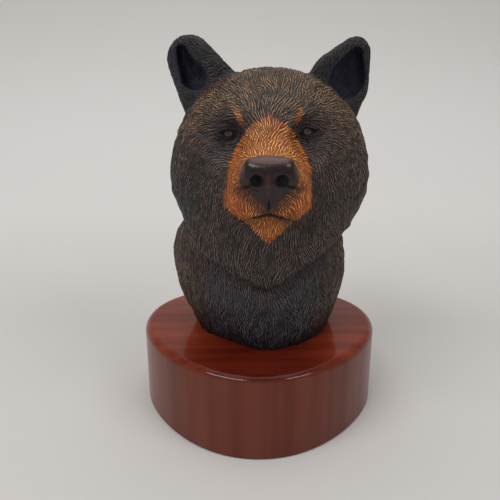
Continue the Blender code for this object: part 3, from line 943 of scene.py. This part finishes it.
def ramp(tree, value, low, high):
    """0 up to low, 1 from high on"""
    limits = {0: value, 1: low, 2: high, 3: 0.0, 4: 1.0}
    node = add(tree, "ShaderNodeMapRange", limits, interpolation_type="SMOOTHSTEP")
    return node.outputs[0]


def blended(tree, factor, a, b):
    """colour a where the factor is 0 and b where it is 1"""
    node = add(tree, "ShaderNodeMix", {0: factor, 6: a, 7: b}, data_type="RGBA")
    return node.outputs[2]


def sums(tree, operation, *values):
    node = add(tree, "ShaderNodeMath", dict(enumerate(values)), operation=operation)
    return node.outputs[0]


def noise(tree, place, scale, detail):
    """soft noise with this many spots to a unit of place"""
    settings = {"Vector": place, "Scale": scale, "Detail": detail}
    return add(tree, "ShaderNodeTexNoise", settings).outputs["Fac"]


def mapped(tree, place, **settings):
    """the place, stretched and turned"""
    return add(tree, "ShaderNodeMapping", {"Vector": place, **settings}).outputs[0]


# Basswood, carved, burned with hair strokes and painted in thin acrylic coats: near-black in the
# strokes, and lighter on the ridges that a dry brush touched. Each coat is its mask, the ridges' colour
# and the strokes' colour, and lies over the coats before it.
FUR_RIDGE = "#765f54"
FUR_STROKE = "#0c0809"
COATS = (
    # lighter coat on the crown, partly painted light from above
    ("crown", "#a88361", "#150d08"),
    # grey-blue coat, partly a painted sheen
    ("cool", "#65626a", "#0f0e11"),
    ("warm", "#82634c", "#130c08"),
    ("shade", "#2f2a33", "#08070b"),
    ("ears", "#453b42", "#08070a"),
    ("hollow", "#373650", "#1a1928"),
    ("tan", "#fba95a", "#6a320c"),
    ("rust", "#ff9238", "#8a3a08"),
    ("gold", "#ffb762", "#8a4818"),
    # painted shadow under the lip, with the brown paint below the nose
    ("lip_shadow_and_snout", "#4e2c1a", "#22110a"),
    ("nose", "#2e1b1a", "#1e1213"),
    # painted highlight on the nose's top and sides
    ("nose_painted_highlight", "#624440", "#4f3533"),
    ("philtrum", "#55241c", "#3c1814"),
    ("black", "#080607", "#050405"),
    ("eye", "#64504a", "#56433d"),
    ("pupil", "#33272a", "#33272a"),
)

# Acrylic paint is satin on the fur, glossier on the nose and near wet on the eyes. The brush touches
# more or less of the ridges in patches 14 mm wide, and the wood's pores are drawn 1.1 mm apart, as
# coarse as they need to show.
PAINT_IOR = 1.45
FUR_ROUGHNESS = 0.58
NOSE_ROUGHNESS = 0.26
EYE_ROUGHNESS = 0.14
BRUSHING_PATCH = 14.29 * MM
BRUSHED_PATCHES = (0.05, 0.62)
BRUSHED_RIDGES = (0.485, 0.615)
BRUSHED_TUFTS = (0.15, 0.8)
BRUSHED_IN_CUTS = 0.3
FIRST_STROKES = 0.55
WOOD_PORES = 1.11 * MM
WOOD_PORE_DEPTH = 0.12


def painted_fur():
    material, tree, shader = new_material("painted_carved_basswood")
    place = add(tree, "ShaderNodeTexCoord").outputs["Object"]

    def mask(name):
        return add(tree, "ShaderNodeAttribute", attribute_name=name).outputs["Fac"]

    strokes = []
    for across_name, spacing, run in (
        ("across", STROKE_SPACING, STROKE_LENGTH),
        ("across_again", SECOND_SPACING * STROKE_SPACING, SECOND_LENGTH * STROKE_LENGTH),
    ):
        across = add(tree, "ShaderNodeAttribute", attribute_name=across_name).outputs["Vector"]
        scale = 1 / (0.8 * run)
        settings = {"Vector": place, "Scale": scale, "Frequency": 1 / (spacing * scale), "Anisotropy": 1.0}
        node = add(tree, "ShaderNodeTexGabor", settings, gabor_type="3D")
        tree.links.new(across, node.inputs["Orientation 3D"])
        strokes.append(node.outputs["Value"])
    first = sums(tree, "MULTIPLY", strokes[0], FIRST_STROKES)
    hair = sums(tree, "MULTIPLY_ADD", strokes[1], 1 - FIRST_STROKES, first)
    blotches = noise(tree, place, 1 / BRUSHING_PATCH, 3.0)

    touched = ramp(tree, hair, *BRUSHED_RIDGES)
    brushed = sums(tree, "MULTIPLY", touched, ramp(tree, blotches, *BRUSHED_PATCHES))
    on_tuft = ramp(tree, mask("tuft"), *BRUSHED_TUFTS)
    in_reach = sums(tree, "MULTIPLY_ADD", on_tuft, 1 - BRUSHED_IN_CUTS, BRUSHED_IN_CUTS)
    ridge_share = sums(tree, "MULTIPLY", brushed, in_reach)
    ridge, stroke = paint(FUR_RIDGE), paint(FUR_STROKE)
    for coat, ridge_hex, stroke_hex in COATS:
        where = mask(coat)
        ridge = blended(tree, where, ridge, paint(ridge_hex))
        stroke = blended(tree, where, stroke, paint(stroke_hex))
    tree.links.new(blended(tree, ridge_share, stroke, ridge), shader.inputs["Base Color"])

    smooth = sums(tree, "MAXIMUM", sums(tree, "MAXIMUM", mask("nose"), mask("eye")), mask("black"))
    haired = sums(tree, "SUBTRACT", 1.0, smooth)
    pores = noise(tree, place, 1 / WOOD_PORES, 2.0)
    height = sums(tree, "MULTIPLY_ADD", hair, haired, sums(tree, "MULTIPLY", pores, WOOD_PORE_DEPTH))
    bump = add(tree, "ShaderNodeBump", {"Height": height, "Distance": STROKE_DEPTH, "Strength": 1.0})
    tree.links.new(bump.outputs["Normal"], shader.inputs["Normal"])
    rough = sums(tree, "MULTIPLY_ADD", mask("nose"), NOSE_ROUGHNESS - FUR_ROUGHNESS, FUR_ROUGHNESS)
    rough = sums(tree, "MULTIPLY_ADD", mask("eye"), EYE_ROUGHNESS - FUR_ROUGHNESS, rough)
    rough = sums(tree, "MAXIMUM", rough, mask("black"))
    tree.links.new(rough, shader.inputs["Roughness"])
    shader.inputs["IOR"].default_value = PAINT_IOR
    return material


# Mahogany under clear gloss lacquer. Its figure is 8 mm wide and 110 mm long, with dark pores a seventh
# as wide. On the sides it stands upright. The top is drawn darkest round a place at its front, as a
# painted shadow of the bust, and lighter further out, as painted light. The lacquer lies in slight waves
# 9 mm wide, and a low IOR under it keeps the wood's own shine from greying the red.
GRAIN_WIDTH = 8.33 * MM
GRAIN_LENGTH = 111.0 * MM
GRAIN_TURN = np.radians(4)
PORES_PER_GRAIN = 7.0
BAND_WIDTH = 10.53 * MM
BAND_HEIGHT = 200.0 * MM
# painted shadow of the bust on the top: where its middle lies, and where the top turns from shaded to lit
PAINTED_SHADOW_MIDDLE = (0, -0.06, 0.05)
PAINTED_SHADOW_EDGE = (0.022, 0.065)
TOP_WOOD_IN_PAINTED_SHADOW = ("#48130a", "#5d1c0e")
TOP_WOOD_PAINTED_LIT = ("#712713", "#8b3720")
SIDE_WOOD = ("#5d2a1f", "#71392b")
PORE_COLOUR = "#360d06"
PORE_WEIGHT = 0.32
WOOD_ROUGHNESS = 0.3
WOOD_IOR = 1.15
WOOD_SHEEN_TINT = "#ffb090"
LACQUER_WEIGHT = 0.45
LACQUER_ROUGHNESS = 0.1
LACQUER_IOR = 1.5
LACQUER_WAVES = 9.09 * MM
LACQUER_WAVE_DEPTH = 0.3 * MM


def lacquered_mahogany():
    """fine dark pores along the grain, and a wet, slightly wavy shine"""
    material, tree, shader = new_material("lacquered_mahogany")
    place = add(tree, "ShaderNodeTexCoord").outputs["Object"]
    facing = add(tree, "ShaderNodeNewGeometry").outputs["Normal"]
    upward = ramp(tree, add(tree, "ShaderNodeSeparateXYZ", {0: facing}).outputs["Z"], 0.3, 0.8)

    along = (1 / GRAIN_LENGTH, 1 / GRAIN_WIDTH, 1 / GRAIN_WIDTH)
    grain_place = mapped(tree, place, Rotation=(0, 0, GRAIN_TURN), Scale=along)
    grain = ramp(tree, noise(tree, grain_place, 1.0, 6.0), 0.35, 0.65)
    pores = ramp(tree, noise(tree, grain_place, PORES_PER_GRAIN, 3.0), 0.45, 0.7)
    upright = mapped(tree, place, Scale=(1 / BAND_WIDTH, 1 / BAND_WIDTH, 1 / BAND_HEIGHT))
    bands = ramp(tree, noise(tree, upright, 1.0, 5.0), 0.25, 0.75)

    # the top drawn in shade in front of the bust and lit further out: painted shadow and painted light
    to_painted_shadow = add(tree, "ShaderNodeVectorMath", {0: place, 1: PAINTED_SHADOW_MIDDLE}, operation="DISTANCE").outputs["Value"]
    painted_shaded_top = blended(tree, grain, *map(paint, TOP_WOOD_IN_PAINTED_SHADOW))
    painted_lit_top = blended(tree, grain, *map(paint, TOP_WOOD_PAINTED_LIT))
    top = blended(tree, ramp(tree, to_painted_shadow, *PAINTED_SHADOW_EDGE), painted_shaded_top, painted_lit_top)
    top = blended(tree, sums(tree, "MULTIPLY", pores, PORE_WEIGHT), top, paint(PORE_COLOUR))
    side = blended(tree, bands, *map(paint, SIDE_WOOD))
    tree.links.new(blended(tree, upward, side, top), shader.inputs["Base Color"])

    waves = noise(tree, place, 1 / LACQUER_WAVES, 2.0)
    bump = add(tree, "ShaderNodeBump", {"Height": waves, "Distance": LACQUER_WAVE_DEPTH, "Strength": 0.5})
    tree.links.new(bump.outputs["Normal"], shader.inputs["Coat Normal"])
    for name, value in (
        ("Roughness", WOOD_ROUGHNESS),
        ("IOR", WOOD_IOR),
        ("Specular Tint", paint(WOOD_SHEEN_TINT)),
        ("Coat Weight", LACQUER_WEIGHT),
        ("Coat Roughness", LACQUER_ROUGHNESS),
        ("Coat IOR", LACQUER_IOR),
    ):
        shader.inputs[name].default_value = value
    return material


# studio


def backdrop():
    """a pale floor that curves up into a wall behind"""
    material, tree, shader = new_material("matt_pale_paper")
    place = add(tree, "ShaderNodeSeparateXYZ", {0: add(tree, "ShaderNodeTexCoord").outputs["Object"]})
    # painted light: the paper is paler on the floor behind the bust and low on its sweep
    far = ramp(tree, place.outputs["Y"], 0.1, 0.6)
    low = ramp(tree, place.outputs["Z"], 0.5, 0.05)
    pale = sums(tree, "MULTIPLY", far, low)
    tree.links.new(blended(tree, pale, *map(paint, PAPER_AND_PAINTED_LIGHT)), shader.inputs["Base Color"])
    shader.inputs["Roughness"].default_value = 0.9
    sweep_start = PAPER_BACK - PAPER_SWEEP
    line = [(PAPER_FRONT, 0.0), (sweep_start, 0.0)]
    for a in np.radians(np.linspace(5, 90, 18)):
        line.append((sweep_start + PAPER_SWEEP * np.sin(a), PAPER_SWEEP * (1 - np.cos(a))))
    line.append((PAPER_BACK, PAPER_TOP))
    points = [(x, y, z) for y, z in line for x in (-PAPER_HALF, PAPER_HALF)]
    faces = [(2 * i, 2 * i + 1, 2 * i + 3, 2 * i + 2) for i in range(len(line) - 1)]
    mesh = bpy.data.meshes.new("floor")
    mesh.from_pydata(points, [], faces)
    mesh.shade_smooth()
    mesh.materials.append(material)
    return linked(bpy.data.objects.new("floor", mesh))


def soft_light(name, place, target, size, watts):
    data = bpy.data.lights.new(name, "AREA")
    data.shape = "RECTANGLE"
    data.size, data.size_y = size
    data.energy = watts
    lamp = linked(bpy.data.objects.new(name, data))
    lamp.location = place
    lamp.rotation_euler = (Vector(target) - Vector(place)).to_track_quat("-Z", "Y").to_euler()
    return lamp


def make_studio():
    backdrop()
    world = bpy.data.worlds.new("soft_room")
    world.use_nodes = True
    background = world.node_tree.nodes["Background"]
    background.inputs["Color"].default_value = ROOM_COLOUR
    background.inputs["Strength"].default_value = ROOM_LIGHT
    bpy.context.scene.world = world
    for name, settings in LIGHTS.items():
        soft_light(name, *settings)
    bpy.context.scene.view_settings.view_transform = "Standard"


def make_camera():
    data = bpy.data.cameras.new("photo_camera")
    data.sensor_width = SENSOR_WIDTH
    data.lens = SENSOR_WIDTH * LENS_IN_FRAME_WIDTHS
    camera = linked(bpy.data.objects.new("photo_camera", data))
    camera.location = CAMERA_PLACE
    camera.rotation_euler = (np.radians(90 - CAMERA_DOWN), 0, 0)
    bpy.context.scene.camera = camera


bust = carved_bust()
bust.data.materials.clear()
bust.data.materials.append(painted_fur())
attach(bust, "root")
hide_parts("bear_bust")

plinth = turned_plinth()
plinth.data.materials.append(lacquered_mahogany())
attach(plinth, "root")
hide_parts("plinth")

make_studio()
make_camera()
